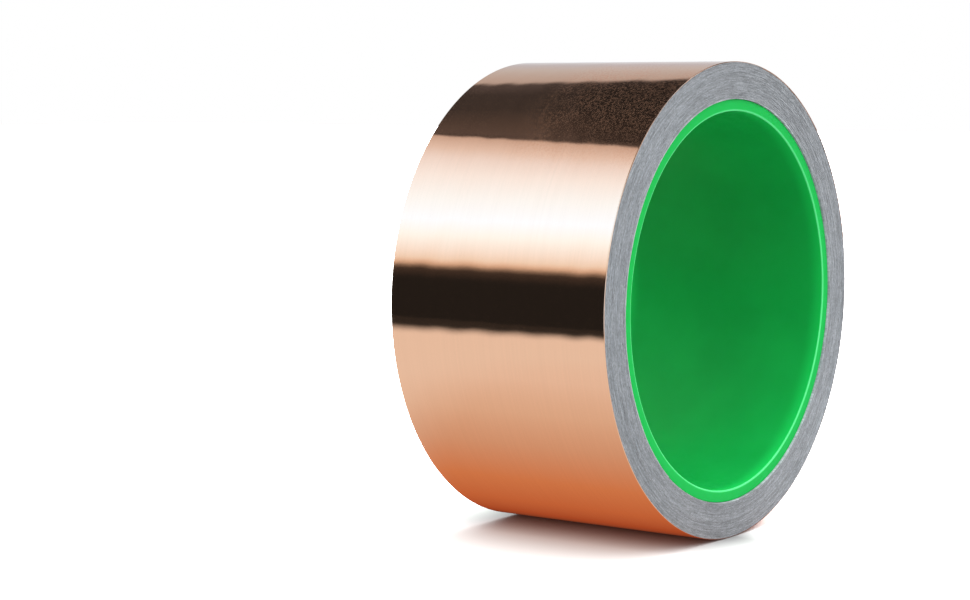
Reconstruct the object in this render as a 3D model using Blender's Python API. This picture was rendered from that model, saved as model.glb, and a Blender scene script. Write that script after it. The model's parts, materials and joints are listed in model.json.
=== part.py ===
"""Copper foil tape roll: a laminate of copper foil, adhesive and paper liner, wound on a plastic core.

The roll's axis is Y, its front side faces -Y, and the origin is on the axis midway between the sides.
It stands on its rim, with one facet flat on the ground at -Z.
A roll angle runs from +X towards +Z. A wind angle runs back along the tape from the foil's free end,
so it grows towards the core, and past a full turn the tape lies under its own outer turn.
A radius is measured to the middle of a facet, so the bore takes a round spindle of that radius.
Every length is in metres and every angle is in degrees.
"""

import math

import bmesh
import bpy
from mathutils import Matrix, Vector

# The core, a three inch plastic tube a little narrower than the tape
BORE_RADIUS = 0.0381
CORE_WALL = 0.0024
CORE_RECESS = 0.00035
CORE_BEVEL = 0.0004

# The tape
TAPE_WIDTH = 0.050
ROLL_RADIUS = 0.0480
FOIL = 0.000045
ADHESIVE = 0.000025
LINER = 0.000070
FILM_GAP = 0.000005
TURN_GAP = 0.000010

# The double-sided strip that holds the first turn on the core
STARTER = 0.00008
STARTER_WIDTH = 0.044
STARTER_START = 217.5
STARTER_SPAN = 15.0
STARTER_GAP = 0.00001

# The facets, with the middle of one straight down
FACETS = 72
FACET = 360.0 / FACETS

# The loose end of the tape, which a thumb lifts off the roll
TIP_ANGLE = 12.5
TIP_SPAN = 15.0
BARE_SPAN = 5.0
SEGMENT_SPAN = 10.0
SEGMENTS = 5
SEAM = 0.00004
SEAM_SPAN = math.degrees(SEAM / ROLL_RADIUS)

HALF_WIDTH = TAPE_WIDTH / 2
CORE_RADIUS = BORE_RADIUS + CORE_WALL
CORE_HALF_WIDTH = HALF_WIDTH - CORE_RECESS
PITCH = FOIL + ADHESIVE + LINER + 2 * FILM_GAP + TURN_GAP
WOUND_BORE = CORE_RADIUS + STARTER + 2 * STARTER_GAP
TAIL_SPAN = TIP_SPAN + SEGMENTS * SEGMENT_SPAN

# How far the two faces of each film lie below the foil's outer face
FOIL_DEPTHS = (0.0, FOIL)
ADHESIVE_DEPTHS = (FOIL + FILM_GAP, FOIL + FILM_GAP + ADHESIVE)
LINER_DEPTHS = (ADHESIVE_DEPTHS[1] + FILM_GAP, ADHESIVE_DEPTHS[1] + FILM_GAP + LINER)

SMOOTH_BELOW = math.radians(30)


def clear_scene():
    for obj in list(bpy.data.objects):
        bpy.data.objects.remove(obj, do_unlink=True)


def make_material(name, colour, roughness, metallic=0.0):
    material = bpy.data.materials.new(name)
    material.use_nodes = True
    shader = material.node_tree.nodes["Principled BSDF"]
    shader.inputs["Base Color"].default_value = (*colour, 1.0)
    shader.inputs["Roughness"].default_value = roughness
    shader.inputs["Metallic"].default_value = metallic
    return material


def add_hinge(name, place, parent):
    """An empty on a hinge's axis. Its children turn with it."""
    hinge = bpy.data.objects.new(name, None)
    bpy.context.scene.collection.objects.link(hinge)
    hinge.empty_display_size = HALF_WIDTH / 5
    hinge.parent = parent
    hinge.location = place - world_place(parent)
    return hinge


def world_place(obj):
    """Where an empty is in the world, or the origin for none."""
    place = Vector()
    while obj is not None:
        place += obj.location
        obj = obj.parent
    return place


def add_piece(name, shape, material, hinge=None):
    """Makes an object of a bmesh in world space. Its origin goes on its hinge's axis, or on the roll's."""
    bmesh.ops.recalc_face_normals(shape, faces=shape.faces)
    shape.transform(Matrix.Translation(-world_place(hinge)))
    mesh = bpy.data.meshes.new(name)
    shape.to_mesh(mesh)
    shape.free()
    mesh.materials.append(material)
    mesh.shade_smooth()
    mesh.set_sharp_from_angle(angle=SMOOTH_BELOW)
    piece = bpy.data.objects.new(name, mesh)
    bpy.context.scene.collection.objects.link(piece)
    piece.parent = hinge
    return piece


def foil_radius(wind):
    """The radius of the foil's outer face, which falls by one pitch in each turn towards the core."""
    return ROLL_RADIUS - PITCH * wind / 360


def facet_point(angle, radius, y):
    """The corner of a faceted round at a roll angle, where radius is to the middle of its facets."""
    corner_radius = radius / math.cos(math.radians(FACET / 2))
    turn = math.radians(angle)
    return Vector((corner_radius * math.cos(turn), y, corner_radius * math.sin(turn)))


def tape_point(wind, depth, y=0.0):
    """A point on the faceted tape, at a depth below its outer face, and on the flat between two corners."""
    before = math.floor(wind / FACET + 1e-9) * FACET
    share = (wind - before) / FACET
    start = facet_point(TIP_ANGLE + before, foil_radius(before) - depth, y)
    end = facet_point(TIP_ANGLE + before + FACET, foil_radius(before + FACET) - depth, y)
    return start.lerp(end, max(share, 0.0))


def strip_shape(stations):
    """A closed strip through its stations, each a rectangle of four points in order."""
    shape = bmesh.new()
    rings = [[shape.verts.new(point) for point in station] for station in stations]
    for ring, following in zip(rings, rings[1:]):
        for side in range(4):
            beside = (side + 1) % 4
            shape.faces.new((ring[side], ring[beside], following[beside], following[side]))
    shape.faces.new(rings[0])
    shape.faces.new(reversed(rings[-1]))
    return shape


def film_shape(wind_start, wind_end, depths):
    """One film of the tape between two wind angles, cut off a seam's half short of each."""
    corners = [FACET * k for k in range(int(wind_start // FACET) + 1, math.ceil(wind_end / FACET))]
    winds = [wind_start + SEAM_SPAN / 2, *corners, wind_end - SEAM_SPAN / 2]
    top, bottom = depths
    places = [(top, -HALF_WIDTH), (top, HALF_WIDTH), (bottom, HALF_WIDTH), (bottom, -HALF_WIDTH)]
    return strip_shape([[tape_point(wind, *place) for place in places] for wind in winds])


def bevelled_section(inner, outer, half_width, bevel):
    """The corners of a tube's wall in order, each as a radius and a place along the axis."""
    return [
        (inner, bevel - half_width),
        (inner + bevel, -half_width),
        (outer - bevel, -half_width),
        (outer, bevel - half_width),
        (outer, half_width - bevel),
        (outer - bevel, half_width),
        (inner + bevel, half_width),
        (inner, half_width - bevel),
    ]


def core_tube(material):
    """A plain tube with its four edges bevelled, spun from its section."""
    section = bevelled_section(BORE_RADIUS, CORE_RADIUS, CORE_HALF_WIDTH, CORE_BEVEL)
    shape = bmesh.new()
    verts = [shape.verts.new(facet_point(FACET / 2, radius, y)) for radius, y in section]
    edges = [shape.edges.new(pair) for pair in zip(verts, verts[1:] + verts[:1])]
    bmesh.ops.spin(
        shape,
        geom=verts + edges,
        cent=(0, 0, 0),
        axis=(0, 1, 0),
        angle=2 * math.pi,
        steps=FACETS,
        use_merge=True,
    )
    return add_piece("core_tube", shape, material)


def core_starter_tape(material):
    low = CORE_RADIUS + STARTER_GAP
    high = low + STARTER
    half = STARTER_WIDTH / 2
    places = [(high, -half), (high, half), (low, half), (low, -half)]
    angles = [STARTER_START + FACET * k for k in range(round(STARTER_SPAN / FACET) + 1)]
    shape = strip_shape([[facet_point(angle, *place) for place in places] for angle in angles])
    return add_piece("core_starter_tape", shape, material)


def wound_tape(material):
    """The turns below the outer one, as a ring whose rim is a spiral.

    The rim steps down once, where the outer turn starts.
    """
    shape = bmesh.new()
    winds = [TAIL_SPAN + FACET * k for k in range(FACETS + 1)]
    rims = []
    bores = []
    for y in (-HALF_WIDTH, HALF_WIDTH):
        rims.append([shape.verts.new(tape_point(wind, PITCH, y)) for wind in winds])
        bore = [facet_point(TIP_ANGLE + wind, WOUND_BORE, y) for wind in winds[:-1]]
        bores.append([shape.verts.new(point) for point in bore])
        bores[-1].append(bores[-1][0])
    for k in range(FACETS):
        for rim, bore in zip(rims, bores):
            if k == 0:
                shape.faces.new((bore[1], bore[0], rim[-1]))
                shape.faces.new((bore[1], rim[-1], rim[0]))
                shape.faces.new((bore[1], rim[0], rim[1]))
            else:
                shape.faces.new((bore[k + 1], bore[k], rim[k], rim[k + 1]))
        for front, back in (rims, bores):
            shape.faces.new((front[k], front[k + 1], back[k + 1], back[k]))
    shape.faces.new((rims[0][0], rims[1][0], rims[1][-1], rims[0][-1]))
    return add_piece("wound_tape", shape, material)


def tape_films(prefix, wind_start, wind_end, materials, hinge=None):
    """The foil, adhesive and liner of one stretch of the tape, each in its own piece."""
    for film, depths in (
        ("foil", FOIL_DEPTHS),
        ("adhesive", ADHESIVE_DEPTHS),
        ("liner", LINER_DEPTHS),
    ):
        add_piece(f"{prefix}_{film}", film_shape(wind_start, wind_end, depths), materials[film], hinge)


def tape_tail(materials):
    """The loose end, as short stretches in a chain of hinges that lie in the foil's outer face."""
    hinge = None
    wind = TAIL_SPAN
    for number in range(1, SEGMENTS + 1):
        hinge = add_hinge(f"hinge_tail_{number}", tape_point(wind, 0.0), hinge)
        tape_films(f"tail_{number}", wind - SEGMENT_SPAN, wind, materials, hinge)
        wind -= SEGMENT_SPAN
    liner_hinge = add_hinge("hinge_liner_tip", tape_point(wind, 0.0), hinge)
    add_piece("tip_liner", film_shape(BARE_SPAN, wind, LINER_DEPTHS), materials["liner"], liner_hinge)
    foil_hinge = add_hinge("hinge_foil_tip", tape_point(wind, 0.0), liner_hinge)
    for film, depths in (("foil", FOIL_DEPTHS), ("adhesive", ADHESIVE_DEPTHS)):
        add_piece(f"tip_{film}", film_shape(0.0, wind, depths), materials[film], foil_hinge)


def main():
    clear_scene()
    materials = {
        "core": make_material("green_plastic", (0.060, 0.620, 0.155), 0.32),
        "foil": make_material("copper_foil", (0.900, 0.480, 0.300), 0.18, 1.0),
        "adhesive": make_material("clear_adhesive", (0.720, 0.700, 0.640), 0.25),
        "liner": make_material("paper_liner", (0.640, 0.650, 0.660), 0.60),
        "wound": make_material("wound_edges", (0.300, 0.310, 0.325), 0.45),
    }
    core_tube(materials["core"])
    core_starter_tape(materials["adhesive"])
    wound_tape(materials["wound"])
    tape_films("outer_turn", TAIL_SPAN, TAIL_SPAN + 360, materials)
    tape_tail(materials)


main()
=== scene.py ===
"""Copper foil tape roll: the looks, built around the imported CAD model.

The roll's axis is Y, its front side faces -Y, and it stands on its rim on the floor.
A wind angle runs back along the tape from the foil's free end towards the core.
A roll angle is the place round the axis, from +X towards +Z.
Lengths are in metres and angles in degrees, but the materials' own coordinates are in millimetres.
"""

import json
import math
import random

import bpy
import numpy as np
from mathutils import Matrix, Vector, noise


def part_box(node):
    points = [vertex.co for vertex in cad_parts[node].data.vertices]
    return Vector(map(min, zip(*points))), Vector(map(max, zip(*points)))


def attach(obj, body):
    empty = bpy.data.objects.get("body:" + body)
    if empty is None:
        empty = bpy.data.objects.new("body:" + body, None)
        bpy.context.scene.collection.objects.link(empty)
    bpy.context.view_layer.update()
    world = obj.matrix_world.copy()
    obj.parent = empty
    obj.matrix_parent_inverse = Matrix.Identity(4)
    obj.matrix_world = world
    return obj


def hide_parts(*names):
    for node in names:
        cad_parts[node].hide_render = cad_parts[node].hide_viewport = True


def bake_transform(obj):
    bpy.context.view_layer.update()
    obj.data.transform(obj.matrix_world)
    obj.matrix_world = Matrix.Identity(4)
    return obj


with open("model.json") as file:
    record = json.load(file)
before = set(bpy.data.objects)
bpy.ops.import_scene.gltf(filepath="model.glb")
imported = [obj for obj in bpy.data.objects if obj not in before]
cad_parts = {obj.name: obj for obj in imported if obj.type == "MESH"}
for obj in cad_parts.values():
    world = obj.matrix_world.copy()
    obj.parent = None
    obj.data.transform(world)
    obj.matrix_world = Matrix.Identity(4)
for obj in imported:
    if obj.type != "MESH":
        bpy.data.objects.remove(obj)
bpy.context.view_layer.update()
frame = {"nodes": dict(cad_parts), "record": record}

# The tape's films, as the CAD has them: each one's outer and inner face, below the foil's outer face
ROLL_RADIUS = 0.0480
PITCH = 0.00016
FOIL_DEPTHS = (0.0, 0.000045)
ADHESIVE_DEPTHS = (0.000050, 0.000075)
LINER_DEPTHS = (0.000080, 0.000150)
TIP_ANGLE = 12.5

# Wind angles along the tape: the hinges of the loose end, and where the outer turn starts and stops
FOIL_TIP = 0.0
LINER_TIP = 5.0
TIP_HINGE = 15.0
TAIL_HINGES = (65.0, 55.0, 45.0, 35.0, 25.0)
HALF_SPAN = 5.0
OUTER_START = TAIL_HINGES[0] + HALF_SPAN
OUTER_END = TAIL_HINGES[0] + 360.0

# The tape's start on the core, where it lies over the starter strip
STARTER_START = 217.5
STARTER_SPAN = 15.0
STARTER_THICKNESS = 0.00008
TURNS = 45
CORE_END = STARTER_START + STARTER_SPAN - TIP_ANGLE + 360.0 * TURNS
FILM_CLEARANCE = 0.00002

# Near the core: the turns in which the tape stops hugging it, and those in which the strip's bump dies
# out, the share of a turn that a climb takes, and the degrees of the slope on each side of the strip
HUG_TURNS = 6.0
RISE_TURNS = 14.0
STEP_SHARE = 0.05
STARTER_SLOPE = 8.0

# Sizes read from the frame, whose rounds have flat facets
HALF_FACET = 2.5
HALF_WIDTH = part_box("outer_turn_foil")[1].y
FLOOR_Z = next(m["pos_m"][2] for m in frame["record"]["mounts"] if m["name"] == "rim_rest")


def flat_radius(node, pick):
    """The smallest or largest radius of a CAD node, to the middle of its facets."""
    radii = [math.hypot(v.co.x, v.co.z) for v in frame["nodes"][node].data.vertices]
    return pick(radii) * math.cos(math.radians(HALF_FACET))


CORE_BORE = flat_radius("core_tube", min)
CORE_RADIUS = flat_radius("core_tube", max)
CORE_HALF_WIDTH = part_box("core_tube")[1].y
STARTER_HALF_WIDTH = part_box("core_starter_tape")[1].y

CORE_END_RADIUS = CORE_RADIUS + FILM_CLEARANCE + LINER_DEPTHS[1]
OUTER_END_RADIUS = ROLL_RADIUS - PITCH * OUTER_END / 360
WOUND_PITCH = (OUTER_END_RADIUS - CORE_END_RADIUS) / ((CORE_END - OUTER_END) / 360)

# The core's rounded lips, and how little its outer edges are broken
LIP = 0.00030
OUTER_LIP = 0.00020

# The outer foil's edges, which the slitting knife rolled down over the other two films, and its waves,
# which start a little way from the free end
EDGE_WIDTH = 0.00015
EDGE_DROP = 0.00012
EDGE_STEPS = 8
ADHESIVE_INSET = EDGE_WIDTH + 0.00001
COPPER_COLUMNS = 96
WAVES = 26
WAVE_HEIGHT = 0.0000011
WAVES_START = 2.0
WAVES_FADE = 8.0

# How far the wound tape strays along the axis, over how many degrees, and a row of the noise for each
SIDE_STRAYS = ((0.00006, 1500.0, 3.1), (0.00002, 130.0, 7.7), (0.00006, 5.7, 1.3))

# How finely the films and the core are made, in degrees and in pieces
WOUND_STEP = 2.5
OUTER_STEP = 1.0
TAIL_STEP = 0.5
CORE_TURNS = 288
ARC_STEPS = 6
WALL_STEPS = 12
STARTER_ROWS = 16
SMOOTH_BELOW = 35.0


# ---------------------------------------------------------------- the tape's shape


def smoothstep(share):
    share = np.clip(share, 0.0, 1.0)
    return share * share * (3 - 2 * share)


def foil_radius(winds):
    """The radius of the foil's outer face at each wind angle.

    The outer turn and the loose end follow the CAD's spiral. Below them the turns near the core lie
    close round it: each steps up only where it climbs on the tape's start, and over the starter strip.
    """
    outer = ROLL_RADIUS - PITCH * winds / 360
    left = np.maximum((CORE_END - winds) / 360, 0.0)
    whole = np.floor(left)
    climb = whole + smoothstep((left - whole - 1) / STEP_SHARE + 1)
    turns = left + np.exp(-left / HUG_TURNS) * (climb - left)
    middle = STARTER_START + STARTER_SPAN / 2
    away = np.abs((winds + TIP_ANGLE - middle + 180) % 360 - 180)
    over_strip = smoothstep((STARTER_SPAN / 2 + STARTER_SLOPE - away) / STARTER_SLOPE)
    rise = STARTER_THICKNESS * over_strip * np.exp(-left / RISE_TURNS)
    inner = CORE_END_RADIUS + WOUND_PITCH * turns + rise
    return np.where(winds <= OUTER_END, outer, inner)


def side_wander(winds):
    """How far the wound tape strays along the axis at each wind angle. The loose end doesn't."""
    fade = smoothstep((winds - OUTER_START) / 360)
    stray = [
        sum(height * noise.noise(Vector((wind / period, row, 0.0))) for height, period, row in SIDE_STRAYS)
        for wind in winds
    ]
    return fade * np.array(stray)


def foil_waves(along, across):
    """Height of the foil's faint waves, from long ripples that lie mostly along the tape."""
    dice = random.Random(11)
    height = np.zeros(np.broadcast(along, across).shape)
    for _ in range(WAVES):
        length = dice.uniform(0.010, 0.030)
        width = dice.uniform(0.004, 0.016)
        phase = dice.uniform(0, 2 * math.pi)
        lean = dice.choice((-1, 1))
        height += np.sin(2 * math.pi * (along / length + lean * across / width) + phase)
    return WAVE_HEIGHT * height


def plain_section(depths, half_width):
    """A film's section, in order round it: outer face front to back, then inner face back to front."""
    outer, inner = depths
    return [(outer, -half_width), (outer, half_width), (inner, half_width), (inner, -half_width)]


def copper_section():
    """The outer foil's section: many columns across its outer face, and edges that roll over."""
    edge = []
    for step in range(EDGE_STEPS + 1):
        turn = math.radians(90 * step / EDGE_STEPS)
        edge.append((EDGE_DROP * (1 - math.sin(turn)), HALF_WIDTH - EDGE_WIDTH * (1 - math.cos(turn))))
    inner = HALF_WIDTH - EDGE_WIDTH
    columns = np.linspace(-inner, inner, COPPER_COLUMNS + 1)[1:-1]
    face = [(depth, -y) for depth, y in edge] + [(0.0, y) for y in columns] + edge[::-1]
    thickness = FOIL_DEPTHS[1]
    back = [(EDGE_DROP, HALF_WIDTH - thickness), (thickness, inner)]
    return face, back + [(depth, -y) for depth, y in back[::-1]]


def tape_grid(winds, section, waves):
    """Points of a film, one row for each wind angle, and the tape's own coordinates of each."""
    depths = np.array([depth for depth, _ in section])
    widths = np.array([y for _, y in section])
    turn = np.radians(TIP_ANGLE + winds)[:, None]
    along = (np.radians(winds) * ROLL_RADIUS)[:, None]
    radius = foil_radius(winds)[:, None] - depths[None, :]
    if waves:
        grown = smoothstep((winds[:, None] - WAVES_START) / WAVES_FADE)
        radius = radius + foil_waves(along, widths[None, :]) * grown
    y = widths[None, :] + side_wander(winds)[:, None]
    points = np.stack([radius * np.cos(turn), y, radius * np.sin(turn)], axis=-1)
    place = np.broadcast_arrays(along * 1000, widths[None, :] * 1000, winds[:, None] / 360)
    return points, np.stack(place, axis=-1)


def make_mesh(name, points, faces, place=None):
    mesh = bpy.data.meshes.new(name)
    mesh.from_pydata(points.tolist(), [], faces)
    mesh.update()
    if place is not None:
        attribute = mesh.attributes.new("tape_place", "FLOAT_VECTOR", "POINT")
        attribute.data.foreach_set("vector", place.astype(np.float32).ravel())
    mesh.shade_smooth()
    mesh.set_sharp_from_angle(angle=math.radians(SMOOTH_BELOW))
    return mesh


def add_object(name, mesh, material):
    mesh.materials.append(material)
    piece = bpy.data.objects.new(name, mesh)
    bpy.context.scene.collection.objects.link(piece)
    return piece


def face_normals(grid):
    """A smooth normal for each point of a grid, from its neighbours."""
    normals = np.cross(np.gradient(grid, axis=1), np.gradient(grid, axis=0))
    return normals / np.linalg.norm(normals, axis=-1, keepdims=True)


def film(name, material, wind_start, wind_end, step, section, face_columns=0):
    """A closed strip of one film, with a row of its section at each step.

    The section's first face_columns points are the face that is seen. Its normals run on past the
    strip's ends, so that no seam shows between it and the next piece.
    """
    count = round((wind_end - wind_start) / step)
    winds = np.linspace(wind_start, wind_end, count + 1)
    points, place = tape_grid(winds, section, waves=face_columns > 0)
    rows, columns = len(winds), len(section)
    row, column = np.meshgrid(np.arange(rows - 1), np.arange(columns), indexing="ij")
    beside = (column + 1) % columns
    corners = [(row, column), (row, beside), (row + 1, beside), (row + 1, column)]
    quads = np.stack([r * columns + c for r, c in corners], axis=-1).reshape(-1, 4)
    caps = [list(range(columns))[::-1], [(rows - 1) * columns + c for c in range(columns)]]
    mesh = make_mesh(name, points.reshape(-1, 3), quads.tolist() + caps, place.reshape(-1, 3))
    if face_columns:
        longer = np.concatenate([[winds[0] - step], winds, [winds[-1] + step]])
        grid, _ = tape_grid(longer, section[:face_columns], waves=True)
        smooth = face_normals(grid)[1:-1]
        loops = np.zeros((rows - 1, columns, 4, 3))
        spans = face_columns - 1
        for corner, (r, c) in enumerate(((0, 0), (0, 1), (1, 1), (1, 0))):
            loops[:, :spans, corner] = smooth[r : r + rows - 1, c : c + spans]
        loops = np.concatenate([loops.reshape(-1, 3), np.zeros((2 * columns, 3))])
        mesh.normals_split_custom_set(loops.tolist())
    return add_object(name, mesh, material)


# ---------------------------------------------------------------- nodes and materials


def add_node(tree, kind, inputs=None, **settings):
    """A shader node. An input is given a value, or another node's output to link to."""
    node = tree.nodes.new("ShaderNode" + kind)
    for name, value in settings.items():
        setattr(node, name, value)
    for name, value in (inputs or {}).items():
        if isinstance(value, bpy.types.NodeSocket):
            tree.links.new(value, node.inputs[name])
        else:
            node.inputs[name].default_value = value
    return node


def new_material(name):
    """A material with a bare Principled shader: its tree and that shader."""
    material = bpy.data.materials.new(name)
    material.use_nodes = True
    return material, material.node_tree, material.node_tree.nodes["Principled BSDF"]


def tape_place(tree):
    """The place on the tape: millimetres along it and across it, and turns."""
    return add_node(tree, "Attribute", attribute_name="tape_place").outputs["Vector"]


def tape_noise(tree, along, across, turns=1.0, detail=2.0, seed=0.0):
    """Noise whose cells are so many millimetres along the tape and across it, and so many turns deep."""
    scaled = add_node(
        tree, "VectorMath",
        {0: tape_place(tree), 1: (1 / along, 1 / across, 1 / turns), 2: (seed, seed, seed)},
        operation="MULTIPLY_ADD",
    )
    cells = add_node(tree, "TexNoise", {"Vector": scaled.outputs[0], "Scale": 1.0, "Detail": detail})
    return cells.outputs["Fac"]


def object_place(tree):
    """The place in the object's own space, in metres."""
    return add_node(tree, "TexCoord").outputs["Object"]


def parts_of(tree, vector):
    """A vector's X, Y and Z."""
    return add_node(tree, "SeparateXYZ", {0: vector}).outputs


def solid_noise(tree, cell):
    """Noise in the object's own space, with cells of that many millimetres."""
    inputs = {"Vector": object_place(tree), "Scale": 1000 / cell, "Detail": 2.0}
    return add_node(tree, "TexNoise", inputs).outputs["Fac"]


def spread(tree, value, low, high, out_low, out_high):
    """A value between low and high, spread smoothly over another range."""
    node = add_node(
        tree, "MapRange",
        {"Value": value, "From Min": low, "From Max": high, "To Min": out_low, "To Max": out_high},
        interpolation_type="SMOOTHSTEP",
    )
    return node.outputs["Result"]


def combine(tree, operation, first, second=0.0):
    """The result of a maths node, which takes one value or two."""
    return add_node(tree, "Math", {0: first, 1: second}, operation=operation).outputs[0]


def product(tree, first, *others):
    """All the values multiplied together."""
    for factor in others:
        first = combine(tree, "MULTIPLY", first, factor)
    return first


def shade(tree, colour, brightness):
    """A colour times a brightness."""
    return add_node(tree, "VectorMath", {0: colour, "Scale": brightness}, operation="SCALE").outputs[0]


def mix_colour(tree, share, first, second):
    mix = add_node(tree, "Mix", data_type="RGBA")
    for name, value in (("Factor_Float", share), ("A_Color", first), ("B_Color", second)):
        socket = next(s for s in mix.inputs if s.identifier == name)
        if isinstance(value, bpy.types.NodeSocket):
            tree.links.new(value, socket)
        else:
            socket.default_value = value
    return next(s for s in mix.outputs if s.identifier == "Result_Color")


def bump(tree, height, distance, normal=None):
    inputs = {"Height": height, "Distance": distance, "Strength": 1.0}
    if normal is not None:
        inputs["Normal"] = normal
    return add_node(tree, "Bump", inputs).outputs["Normal"]


# Where hands have scuffed the foil, in millimetres: each pair is where the scuffs start to fade, and end
SCUFFS_ALONG = (95.0, 115.0)
SCUFFS_ACROSS = (-3.0, 10.0)


def copper_material():
    """Bright rolled foil, with rolling lines along the tape, faint ripples and fine grain.

    Towards its loose end, near the front side, where hands have held it, it has a tarnish of fine scuffs.
    """
    material, tree, shader = new_material("copper_foil")
    haze = tape_noise(tree, 0.50, 0.46, seed=4.0)
    patches = tape_noise(tree, 16.0, 12.0, seed=9.0)
    place = parts_of(tree, tape_place(tree))
    scuffs = product(
        tree,
        spread(tree, haze, 0.36, 0.70, 0.0, 1.0),
        spread(tree, patches, 0.30, 0.52, 0.3, 1.0),
        spread(tree, place["Y"], *SCUFFS_ACROSS, 1.0, 0.08),
        spread(tree, place["X"], *SCUFFS_ALONG, 1.0, 0.0),
    )
    lines = tape_noise(tree, 60.0, 0.35, detail=3.0)
    clean = shade(tree, (0.900, 0.565, 0.385), spread(tree, lines, 0.3, 0.7, 0.99, 1.01))
    tarnished = mix_colour(tree, product(tree, scuffs, 0.45), clean, (0.80, 0.34, 0.18, 1.0))
    tree.links.new(tarnished, shader.inputs["Base Color"])
    rolled = spread(tree, tape_noise(tree, 30.0, 0.22, seed=2.0), 0.35, 0.7, 0.050, 0.060)
    tree.links.new(combine(tree, "ADD", product(tree, scuffs, 0.03), rolled), shader.inputs["Roughness"])
    ripples = bump(tree, tape_noise(tree, 1.8, 0.7, detail=1.0, seed=6.0), 0.0000012)
    dimples = bump(tree, tape_noise(tree, 0.55, 0.45, detail=1.0, seed=7.0), 0.0000008, ripples)
    grain = bump(tree, tape_noise(tree, 1.2, 0.16, detail=1.0, seed=1.0), 0.00000012, dimples)
    tree.links.new(grain, shader.inputs["Normal"])
    tree.links.new(spread(tree, scuffs, 0.0, 1.0, 1.0, 0.972), shader.inputs["Metallic"])
    return material


def adhesive_material():
    """Clear tacky film that shows the dull back of the foil through it."""
    material, tree, shader = new_material("clear_adhesive")
    mottle = tape_noise(tree, 1.6, 1.4, detail=3.0)
    lighter = spread(tree, mottle, 0.35, 0.65, 0.0, 1.0)
    colour = mix_colour(tree, lighter, (0.50, 0.37, 0.29, 1.0), (0.60, 0.47, 0.38, 1.0))
    tree.links.new(colour, shader.inputs["Base Color"])
    tree.links.new(spread(tree, mottle, 0.3, 0.7, 0.22, 0.38), shader.inputs["Roughness"])
    tree.links.new(bump(tree, mottle, 0.00003), shader.inputs["Normal"])
    return material


def liner_material():
    """Pale grey release paper, with short fibres and a faint silicone shine."""
    material, tree, shader = new_material("paper_liner")
    fibres = tape_noise(tree, 0.9, 0.25, detail=3.0)
    clouds = tape_noise(tree, 7.0, 6.0, seed=5.0)
    brightness = product(
        tree, spread(tree, fibres, 0.3, 0.7, 0.90, 1.06), spread(tree, clouds, 0.3, 0.7, 0.95, 1.03)
    )
    tree.links.new(shade(tree, (0.60, 0.61, 0.62), brightness), shader.inputs["Base Color"])
    tree.links.new(bump(tree, fibres, 0.00001), shader.inputs["Normal"])
    shader.inputs["Roughness"].default_value = 0.48
    return material


# Noise cells this wide across the tape, in millimetres, leave the two sides different and each one even
ONE_SIDE = 40.0


def edge_material(name, colour, streaks, speckle):
    """A film's slit edges in the wound roll: long arcs, dashes and fine marks, a few turns deep, and dirt.

    The turns next to the core are painted lighter, a painted highlight where the tape's innermost edge
    catches the light.
    """
    material, tree, shader = new_material(name)
    dashes = tape_noise(tree, 2.4, ONE_SIDE, turns=1.8)
    fine = tape_noise(tree, 0.5, ONE_SIDE, turns=1.4, seed=3.0)
    arcs = tape_noise(tree, 14.0, ONE_SIDE, turns=2.5, detail=1.0, seed=5.0)
    dirt = tape_noise(tree, 0.30, ONE_SIDE, detail=1.0, seed=8.0)
    last_turn = CORE_END / 360
    brightness = product(
        tree,
        spread(tree, dashes, 0.28, 0.72, 1 - streaks, 1 + streaks),
        spread(tree, fine, 0.28, 0.72, 0.78, 1.22),
        spread(tree, arcs, 0.32, 0.68, 0.84, 1.16),
        spread(tree, dirt, 0.70, 0.76, 1.0, 1 - speckle),
        # A painted highlight on the innermost turns, next to the core
        spread(tree, parts_of(tree, tape_place(tree))["Z"], last_turn - 1.8, last_turn - 0.8, 1.0, 1.5),
    )
    tree.links.new(shade(tree, colour, brightness), shader.inputs["Base Color"])
    shader.inputs["Roughness"].default_value = 0.55
    return material


# How far from its ends the painted glow on the core's wall starts, in metres
PAINTED_GLOW_DEPTH = 0.0036


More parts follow.
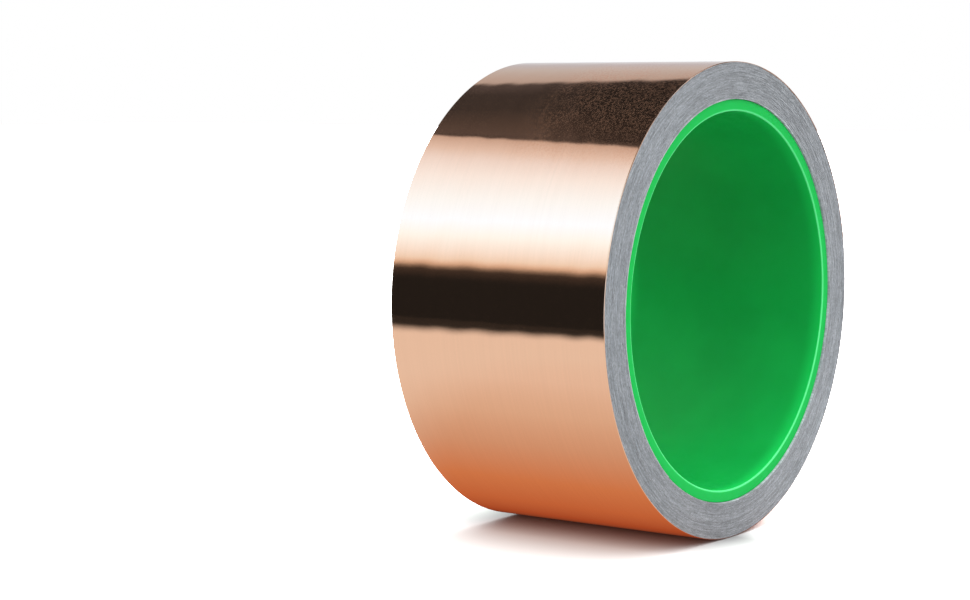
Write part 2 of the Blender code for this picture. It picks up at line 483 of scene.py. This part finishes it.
def plastic_material():
    """Satin green moulding that light soaks into. Near its ends the wall has a painted glow in its colour,
    and its inner lips have a painted highlight.
    """
    material, tree, shader = new_material("green_plastic")
    wall = mix_colour(
        tree, spread(tree, solid_noise(tree, 14.0), 0.3, 0.7, 0.0, 1.0),
        (0.0038, 0.220, 0.035, 1.0), (0.0044, 0.242, 0.039, 1.0),
    )
    place = parts_of(tree, object_place(tree))
    to_side = combine(tree, "ABSOLUTE", place["Y"])
    # A painted glow: the wall's colour is made lighter near the ends, as if lit from within
    painted_glow = spread(tree, to_side, CORE_HALF_WIDTH - PAINTED_GLOW_DEPTH, CORE_HALF_WIDTH, 0.0, 1.0)
    wall_with_painted_glow = mix_colour(tree, painted_glow, wall, (0.006, 0.325, 0.054, 1.0))
    at_end = spread(tree, to_side, CORE_HALF_WIDTH - LIP, CORE_HALF_WIDTH - LIP / 3, 0.0, 1.0)
    ends = mix_colour(tree, at_end, wall_with_painted_glow, (0.006, 0.270, 0.046, 1.0))
    squares = [combine(tree, "POWER", place[axis], 2.0) for axis in "XZ"]
    radius = combine(tree, "SQRT", combine(tree, "ADD", *squares))
    # A painted highlight: the rounded inner lips are painted pale where they would catch the light
    painted_lip_highlight = product(
        tree,
        spread(tree, radius, CORE_BORE + LIP * 0.5, CORE_BORE + LIP * 1.6, 1.0, 0.0),
        spread(tree, to_side, CORE_HALF_WIDTH - LIP, CORE_HALF_WIDTH - LIP * 0.5, 0.0, 1.0),
    )
    tree.links.new(mix_colour(tree, painted_lip_highlight, ends, (0.065, 0.450, 0.160, 1.0)), shader.inputs["Base Color"])
    tree.links.new(spread(tree, solid_noise(tree, 2.2), 0.3, 0.7, 0.32, 0.40), shader.inputs["Roughness"])
    tree.links.new(bump(tree, solid_noise(tree, 1.6), 0.0000015), shader.inputs["Normal"])
    shader.inputs["Specular IOR Level"].default_value = 0.03
    shader.inputs["Subsurface Weight"].default_value = 0.5
    shader.inputs["Subsurface Radius"].default_value = (0.30, 1.0, 0.45)
    shader.inputs["Subsurface Scale"].default_value = 0.0010
    return material


# ---------------------------------------------------------------- pieces


def core_section():
    """The core's section, in order round it, each point as a radius and a place along the axis."""
    section = []
    for radius, side, curve, start in (
        (CORE_BORE + LIP, -1, LIP, 180),
        (CORE_RADIUS - OUTER_LIP, -1, OUTER_LIP, 270),
        (CORE_RADIUS - OUTER_LIP, 1, OUTER_LIP, 0),
        (CORE_BORE + LIP, 1, LIP, 90),
    ):
        for step in range(ARC_STEPS + 1):
            turn = math.radians(start + 90 * step / ARC_STEPS)
            y = side * (CORE_HALF_WIDTH - curve) + curve * math.sin(turn)
            section.append((radius + curve * math.cos(turn), y))
    wall = np.linspace(CORE_HALF_WIDTH - LIP, LIP - CORE_HALF_WIDTH, WALL_STEPS + 1)[1:-1]
    return section + [(CORE_BORE, y) for y in wall]


def core_mesh():
    """The core, turned from its section: a tube whose four edges are slightly rounded."""
    section = core_section()
    radii = np.array([radius for radius, _ in section])
    widths = np.array([y for _, y in section])
    turn = np.linspace(0, 2 * math.pi, CORE_TURNS, endpoint=False)[:, None]
    points = np.stack([radii * np.cos(turn), widths + 0 * turn, radii * np.sin(turn)], axis=-1)
    columns = len(section)
    row, column = np.meshgrid(np.arange(CORE_TURNS), np.arange(columns), indexing="ij")
    onward = (row + 1) % CORE_TURNS
    beside = (column + 1) % columns
    corners = [(row, column), (row, beside), (onward, beside), (onward, column)]
    quads = np.stack([r * columns + c for r, c in corners], axis=-1).reshape(-1, 4)
    return make_mesh("core", points.reshape(-1, 3), quads.tolist())


def starter_strip(material):
    """The short double-sided strip on the core, under the tape's start."""
    low = CORE_RADIUS + FILM_CLEARANCE / 2
    high = low + STARTER_THICKNESS
    half = STARTER_HALF_WIDTH
    section = [(high, -half), (high, half), (low, half), (low, -half)]
    rows = STARTER_ROWS
    angles = np.radians(np.linspace(STARTER_START, STARTER_START + STARTER_SPAN, rows))
    points = np.array([(r * math.cos(a), y, r * math.sin(a)) for a in angles for r, y in section])
    faces = [
        (4 * k + side, 4 * k + (side + 1) % 4, 4 * k + 4 + (side + 1) % 4, 4 * k + 4 + side)
        for k in range(rows - 1)
        for side in range(4)
    ]
    faces += [(3, 2, 1, 0), tuple(4 * (rows - 1) + side for side in range(4))]
    return add_object("starter_strip", make_mesh("starter_strip", points, faces, points * 1000), material)


def hold(piece, nodes, body, follower=None, winds=None):
    """A piece stands for CAD nodes and rides on a body. A piece with a follower is left fixed where it
    lies.
    """
    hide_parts(*nodes)
    if follower is None:
        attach(piece, body)
        return
    ends, _ = tape_grid(np.array(winds), [(0.0, 0.0)], waves=False)
    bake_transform(piece)


def outer_films(materials):
    """For each film: its name, material slot, section and how many of its points are the seen face."""
    face, back = copper_section()
    return {
        "foil": ("copper", materials["copper_foil"], "copper_foil", face + back, len(face)),
        "adhesive": (
            "adhesive", materials["clear_adhesive"], "clear_adhesive",
            plain_section(ADHESIVE_DEPTHS, HALF_WIDTH - ADHESIVE_INSET), 0,
        ),
        "liner": (
            "liner", materials["paper_liner"], "paper_liner",
            plain_section(LINER_DEPTHS, HALF_WIDTH - EDGE_WIDTH), 0,
        ),
    }


def outer_turn(films):
    for node, (label, material, slot, section, face) in films.items():
        piece = film(f"{label}_outer_turn", material, OUTER_START, OUTER_END, OUTER_STEP, section, face)
        hold(piece, [f"outer_turn_{node}"], "roll")


def loose_end(films):
    """The tape's loose end, in pieces that each span one hinge."""
    bodies = ["roll"] + [f"tail_{number}" for number in range(1, len(TAIL_HINGES) + 1)] + ["liner_tip"]
    for number, hinge in enumerate((*TAIL_HINGES, TIP_HINGE), start=1):
        start = hinge + HALF_SPAN
        end = TIP_HINGE if hinge == TIP_HINGE else hinge - HALF_SPAN
        node = min(number, len(TAIL_HINGES))
        for film_node, (label, material, slot, section, face) in films.items():
            piece = film(f"{label}_tail_{number}", material, end, start, TAIL_STEP, section, face)
            hold(piece, [f"tail_{node}_{film_node}"], bodies[number - 1], bodies[number], (start, end))
    for film_node in ("foil", "adhesive"):
        label, material, slot, section, face = films[film_node]
        piece = film(f"{label}_tip", material, FOIL_TIP, TIP_HINGE, TAIL_STEP, section, face)
        winds = (TIP_HINGE, TIP_HINGE - HALF_SPAN)
        hold(piece, [f"tip_{film_node}"], "liner_tip", "foil_tip", winds)
    label, material, slot, section, face = films["liner"]
    piece = film("liner_tip_end", material, LINER_TIP, TIP_HINGE, TAIL_STEP, section, face)
    hold(piece, ["tip_liner"], "liner_tip")


def wound_turns(materials):
    """The turns below the outer one: the three films as three long spirals, laid one in the other."""
    for name, material, slot, depths, recess in (
        ("wound_foil", materials["foil_edges"], "wound_edges", FOIL_DEPTHS, 0.00002),
        ("wound_adhesive", materials["adhesive_edges"], "clear_adhesive", ADHESIVE_DEPTHS, 0.00007),
        ("wound_liner", materials["liner_edges"], "wound_edges", LINER_DEPTHS, 0.0),
    ):
        section = plain_section(depths, HALF_WIDTH - recess)
        piece = film(name, material, OUTER_END, CORE_END, WOUND_STEP, section)
        hold(piece, ["wound_tape"], "roll")


# ---------------------------------------------------------------- the studio


# A ramp holds levels up to 1, so brighter ones are kept as shares of this, and multiplied by it at the end
RAMP_TOP = 3.0


def ramp_share(colour):
    return tuple(level / RAMP_TOP for level in colour)


def band_ramp(tree, value, stops):
    """A colour ramp through stops of a place from 0 to 1 and a colour."""
    ramp = add_node(tree, "ValToRGB", {"Fac": value})
    elements = ramp.color_ramp.elements
    elements.remove(elements[1])
    first, *others = sorted(stops)
    elements[0].position = first[0]
    elements[0].color = (*first[1], 1.0)
    for place, colour in others:
        elements.new(place).color = (*colour, 1.0)
    return ramp.outputs["Color"]


# What the foil mirrors, by the angle round the roll's axis from +X towards +Z. A pale wall stands to
# the right, a dark ceiling is above, a large softbox fills the upper left, and the room is dark below it.
STUDIO_BANDS = (
    (-180, (0.017, 0.018, 0.019)),
    (-165, (0.017, 0.018, 0.019)),
    (-160, (0.850, 0.850, 0.850)),
    (-20, (0.850, 0.850, 0.850)),
    (-5, (0.700, 0.720, 0.760)),
    (10, (0.700, 0.740, 0.780)),
    (18, (0.570, 0.600, 0.660)),
    (30, (0.580, 0.610, 0.640)),
    (46, (0.520, 0.510, 0.520)),
    (48.5, (0.060, 0.056, 0.060)),
    (60, (0.030, 0.029, 0.031)),
    (74, (0.030, 0.029, 0.031)),
    (86, (0.052, 0.046, 0.046)),
    (96.1, (0.070, 0.063, 0.065)),
    (96.8, (0.640, 0.600, 0.600)),
    (104, (0.830, 0.870, 0.950)),
    (110, (0.950, 1.130, 1.380)),
    (119, (1.060, 1.400, 1.800)),
    (131, (1.100, 1.640, 2.250)),
    (142, (1.120, 1.760, 2.600)),
    (150, (1.150, 1.640, 2.120)),
    (158, (1.060, 1.280, 1.500)),
    (162, (0.980, 1.060, 1.100)),
    (164, (0.840, 0.720, 0.620)),
    (166.5, (0.060, 0.050, 0.045)),
    (172, (0.017, 0.018, 0.019)),
)

# The dark ceiling's two edges lean: each one's pivot along the axis, how many degrees it turns for one
# unit along it, and the angles between which that starts and then stops
CEILING_EDGES = ((0.572, 78.0, (80.0, 95.0), (102.0, 135.0)), (0.551, -78.0, (20.0, 42.0), (57.0, 68.0)))

# The ceiling's own angles, inside both its edges, and how much lighter it gets towards the back
CEILING_STARTS = (47.0, 50.0)
CEILING_STOPS = (93.0, 96.0)
CEILING_FADE = (0.540, 0.580, -0.50, 0.50)

# A panel that the tape's rolled edge mirrors, and between which places forward, to the left and in
# height a mirrored direction comes to it, or leaves it
FRONT_PANEL = (1.05, 1.45, 1.95)
PANEL_FORWARD = (0.15, 0.35)
PANEL_LEFTWARD = (0.05, 0.30)
PANEL_HEIGHT = (0.15, 0.35)

# A dim gap at the back left, and its places in the same way
GAP_DIMMING = 0.15
GAP_STARTS = (-0.42, -0.32)
GAP_STOPS = (-0.16, -0.10)
GAP_LEFTWARD = (-0.1, 0.1)

# Looking along the axis the studio is plain
PLAIN_END = 0.84
END_SPAN = (0.75, 0.92)

# The light for everything that isn't a mirror. Some comes from one side, by how near a direction is to
# it, and the rest from everywhere, but more from above. Each has its range, and its least and its most.
KEY_SIDE = Vector((-0.06, -0.54, 0.84))
KEY_LIGHT = (-0.2, 1.0, 0.0, 1.9)
SKY_LIGHT = (0.0, 0.9, 0.74, 2.05)

# How bright the floor looks in the foil, by the distance from the line where the roll touches it.
# The foil throws its own colour on the floor near it, and hardly any light gets in close to the touch.
FLOOR_GLOW = (
    (0.000, (0.080, 0.015, 0.007)),
    (0.006, (0.160, 0.032, 0.014)),
    (0.012, (0.405, 0.078, 0.024)),
    (0.020, (0.580, 0.180, 0.069)),
    (0.030, (0.675, 0.292, 0.138)),
    (0.045, (0.700, 0.480, 0.360)),
    (0.062, (0.780, 0.650, 0.560)),
    (0.090, (0.860, 0.800, 0.770)),
    (0.130, (0.880, 0.870, 0.865)),
)
GLOW_REACH = 0.130

# The mirrored floor fades in between these places on the left, where the table ends. Its edge isn't
# square to the roll: it lies further right behind the roll than in front of it.
TABLE_EDGE = (-0.2675, -0.2015)
TABLE_SKEW = 0.07
SKEW_SPAN = (-0.05, 0.25)
PAST_TABLE = 0.035

# How many times brighter the floor is for a diffuse ray than for a mirrored one, and that behind the roll
FLOOR_BOUNCE = (1.3, 2.2)

# How light the paper of the floor that the camera sees is painted, by the distance from the touch: a
# painted contact shadow, laid over the roll's real one
PAINTED_FLOOR_SHADE = (
    (0.000, 0.09),
    (0.013, 0.35),
    (0.024, 0.63),
    (0.040, 0.70),
    (0.075, 0.80),
    (0.110, 0.95),
    (0.300, 1.60),
)
FLOOR_REACH = 0.300

# The same past the roll's sides, and how much lighter the paper is painted from the touch towards the
# right, a painted lift of the shade there
FLOOR_BESIDE = 0.85
PAINTED_FLOOR_LIFT = 2.2
LIFT_SPAN = (-0.004, 0.012)


def leaning_angle(tree, direction):
    """A direction's angle round the roll's axis, turned near the ceiling's edges so that they lean."""
    angle = combine(tree, "ARCTAN2", direction["Z"], direction["X"])
    level = angle
    for pivot, lean, starts, stops in CEILING_EDGES:
        turn = product(
            tree,
            combine(tree, "SUBTRACT", direction["Y"], pivot),
            math.radians(lean),
            spread(tree, angle, *map(math.radians, starts), 0.0, 1.0),
            spread(tree, angle, *map(math.radians, stops), 1.0, 0.0),
        )
        level = combine(tree, "ADD", level, turn)
    return level


def studio_bands(tree, direction):
    """The studio's bands, with a ceiling that gets lighter towards the back."""
    level = leaning_angle(tree, direction)
    whole_turn = {"Value": level, "From Min": -math.pi, "From Max": math.pi}
    share = add_node(tree, "MapRange", whole_turn).outputs["Result"]
    stops = [((angle + 180) / 360, ramp_share(colour)) for angle, colour in STUDIO_BANDS]
    lighter = product(
        tree,
        spread(tree, level, *map(math.radians, CEILING_STARTS), 0.0, 1.0),
        spread(tree, level, *map(math.radians, CEILING_STOPS), 1.0, 0.0),
        spread(tree, direction["Y"], *CEILING_FADE),
    )
    return shade(tree, band_ramp(tree, share, stops), combine(tree, "ADD", lighter, 1.0))


def mirrored_studio(tree, direction):
    """All that the foil mirrors but the floor, as a share of the ramps' top."""
    leftward = product(tree, direction["X"], -1.0)
    forward = product(tree, direction["Y"], -1.0)
    gap = product(
        tree,
        spread(tree, forward, *GAP_STARTS, 0.0, 1.0),
        spread(tree, forward, *GAP_STOPS, 1.0, 0.0),
        spread(tree, leftward, *GAP_LEFTWARD, 0.0, 1.0),
    )
    dimmed = shade(tree, studio_bands(tree, direction), spread(tree, gap, 0.0, 1.0, 1.0, GAP_DIMMING))
    panel = product(
        tree,
        spread(tree, forward, *PANEL_FORWARD, 0.0, 1.0),
        spread(tree, leftward, *PANEL_LEFTWARD, 0.0, 1.0),
        spread(tree, combine(tree, "ABSOLUTE", direction["Z"]), *PANEL_HEIGHT, 1.0, 0.0),
    )
    sides = mix_colour(tree, panel, dimmed, (*ramp_share(FRONT_PANEL), 1.0))
    endways = spread(tree, combine(tree, "ABSOLUTE", direction["Y"]), *END_SPAN, 0.0, 1.0)
    return mix_colour(tree, endways, sides, (*ramp_share((PLAIN_END,) * 3), 1.0))


def studio_world():
    """Camera rays see plain white, mirrored rays see the studio, and other light is soft, from above."""
    world = bpy.data.worlds.new("studio")
    bpy.context.scene.world = world
    world.use_nodes = True
    tree = world.node_tree
    tree.nodes.clear()
    generated = add_node(tree, "TexCoord").outputs["Generated"]
    direction = parts_of(tree, generated)
    mirror = mirrored_studio(tree, direction)
    mirrored = add_node(tree, "Background", {"Color": mirror, "Strength": RAMP_TOP})
    key = add_node(tree, "VectorMath", {0: generated, 1: KEY_SIDE.normalized()}, operation="DOT_PRODUCT")
    from_key = spread(tree, key.outputs["Value"], *KEY_LIGHT)
    from_sky = spread(tree, direction["Z"], *SKY_LIGHT)
    strength = combine(tree, "ADD", from_key, from_sky)
    soft = add_node(tree, "Background", {"Color": (1, 1, 1, 1), "Strength": strength})
    white = add_node(tree, "Background", {"Color": (1, 1, 1, 1), "Strength": 1.0})
    ray = add_node(tree, "LightPath").outputs
    lit = add_node(tree, "MixShader", {0: ray["Is Glossy Ray"], 1: soft.outputs[0], 2: mirrored.outputs[0]})
    seen = add_node(tree, "MixShader", {0: ray["Is Camera Ray"], 1: lit.outputs[0], 2: white.outputs[0]})
    add_node(tree, "OutputWorld", {"Surface": seen.outputs[0]})


def flat_sheet(name, low, high, z, material):
    (x0, y0), (x1, y1) = low, high
    points = np.array([(x0, y0, z), (x1, y0, z), (x1, y1, z), (x0, y1, z)])
    sheet = add_object(name, make_mesh(name, points, [(0, 1, 2, 3)]), material)
    return sheet


def from_touch(tree, place, reach, stops):
    """A ramp over the distance from the line where the roll touches the floor, out to its reach."""
    share = combine(tree, "DIVIDE", combine(tree, "ABSOLUTE", place["X"]), reach)
    return band_ramp(tree, share, [(distance / reach, colour) for distance, colour in stops])


def stage_material(name):
    """A material with no shader yet: it, its tree and the parts of the place on the floor."""
    material, tree, shader = new_material(name)
    tree.nodes.remove(shader)
    return material, tree, parts_of(tree, object_place(tree))


def white_floor():
    """The floor that the camera sees, brightly overexposed, so that little but the contact shadow shows.
    That shadow is partly the roll's real one and partly painted into the paper's colour, which is also
    painted lighter towards the right.
    """
    material, tree, place = stage_material("white_floor")
    # A painted contact shadow: the paper's colour darkens towards the touch
    painted_shade_stops = [(distance, ramp_share((level,) * 3)) for distance, level in PAINTED_FLOOR_SHADE]
    near = from_touch(tree, place, FLOOR_REACH, painted_shade_stops)
    beyond = combine(tree, "ABSOLUTE", place["Y"])
    past_side = spread(tree, beyond, HALF_WIDTH - 0.004, HALF_WIDTH + 0.016, 0.0, 1.0)
    level = mix_colour(tree, past_side, near, (*ramp_share((FLOOR_BESIDE,) * 3), 1.0))
    # A painted lift: the paper is painted lighter to the right of the touch, where less shade shows
    painted_lift = spread(tree, place["X"], *LIFT_SPAN, RAMP_TOP, RAMP_TOP * PAINTED_FLOOR_LIFT)
    painted_paper = add_node(tree, "BsdfDiffuse", {"Color": shade(tree, level, painted_lift)})
    tree.links.new(painted_paper.outputs[0], tree.nodes["Material Output"].inputs["Surface"])
    floor = flat_sheet("floor", (-4.0, -4.0), (4.0, 4.0), FLOOR_Z - 0.00003, material)
    floor.visible_glossy = False
    floor.visible_diffuse = False
    floor.visible_shadow = False


def floor_glow():
    """The same floor as the roll sees it: a glowing card, with the shade near the touch and the foil's
    thrown copper light painted into its glow.
    """
    material, tree, place = stage_material("floor_glow")
    # A painted shadow and painted copper light, by the distance from the touch
    near = from_touch(tree, place, GLOW_REACH, FLOOR_GLOW)
    past_back = spread(tree, place["Y"], HALF_WIDTH + 0.005, HALF_WIDTH + 0.045, 0.0, 1.0)
    past_front = spread(tree, place["Y"], -HALF_WIDTH - 0.012, -HALF_WIDTH + 0.002, 1.0, 0.0)
    past_side = combine(tree, "MAXIMUM", past_back, past_front)
    colour = mix_colour(tree, past_side, near, (*FLOOR_GLOW[-1][1], 1.0))
    skew = spread(tree, place["Y"], *SKEW_SPAN, 0.0, TABLE_SKEW)
    on_table = spread(tree, combine(tree, "SUBTRACT", place["X"], skew), *TABLE_EDGE, PAST_TABLE, 1.0)
    scattered = add_node(tree, "LightPath").outputs["Is Diffuse Ray"]
    bounce = combine(tree, "POWER", spread(tree, past_back, 0.0, 1.0, *FLOOR_BOUNCE), scattered)
    painted_glow = add_node(tree, "Emission", {"Color": colour, "Strength": product(tree, on_table, bounce)})
    tree.links.new(painted_glow.outputs[0], tree.nodes["Material Output"].inputs["Surface"])
    material.cycles.emission_sampling = "NONE"
    card = flat_sheet("floor_glow", (TABLE_EDGE[0], -2.0), (2.0, 2.0), FLOOR_Z - 0.0003, material)
    card.visible_camera = False
    card.visible_shadow = False


# The camera of the photo, fitted to the roll's outlines
CAMERA_PLACE = (-0.401014, -0.255443, 0.042647)
CAMERA_AIM = Vector((0.80450, 0.58683, -0.09173))
CAMERA_LENS = 85.36


def add_camera():
    camera = bpy.data.objects.new("camera", bpy.data.cameras.new("camera"))
    bpy.context.scene.collection.objects.link(camera)
    camera.location = CAMERA_PLACE
    camera.rotation_mode = "QUATERNION"
    camera.rotation_quaternion = CAMERA_AIM.to_track_quat("-Z", "Y")
    camera.data.sensor_width = 36.0
    camera.data.lens = CAMERA_LENS
    camera.data.clip_start = 0.01
    bpy.context.scene.camera = camera


def main():
    bpy.context.scene.view_settings.view_transform = "Standard"
    add_camera()
    studio_world()
    white_floor()
    floor_glow()
    materials = {
        "copper_foil": copper_material(),
        "clear_adhesive": adhesive_material(),
        "paper_liner": liner_material(),
        "foil_edges": edge_material("foil_edges", (0.192, 0.190, 0.196), 0.22, 0.5),
        "adhesive_edges": edge_material("adhesive_edges", (0.108, 0.114, 0.122), 0.22, 0.3),
        "liner_edges": edge_material("liner_edges", (0.184, 0.203, 0.222), 0.20, 0.6),
        "green_plastic": plastic_material(),
    }
    core = add_object("core", core_mesh(), materials["green_plastic"])
    hold(core, ["core_tube"], "roll")
    hold(starter_strip(materials["clear_adhesive"]), ["core_starter_tape"], "roll")
    wound_turns(materials)
    films = outer_films(materials)
    outer_turn(films)
    loose_end(films)


main()
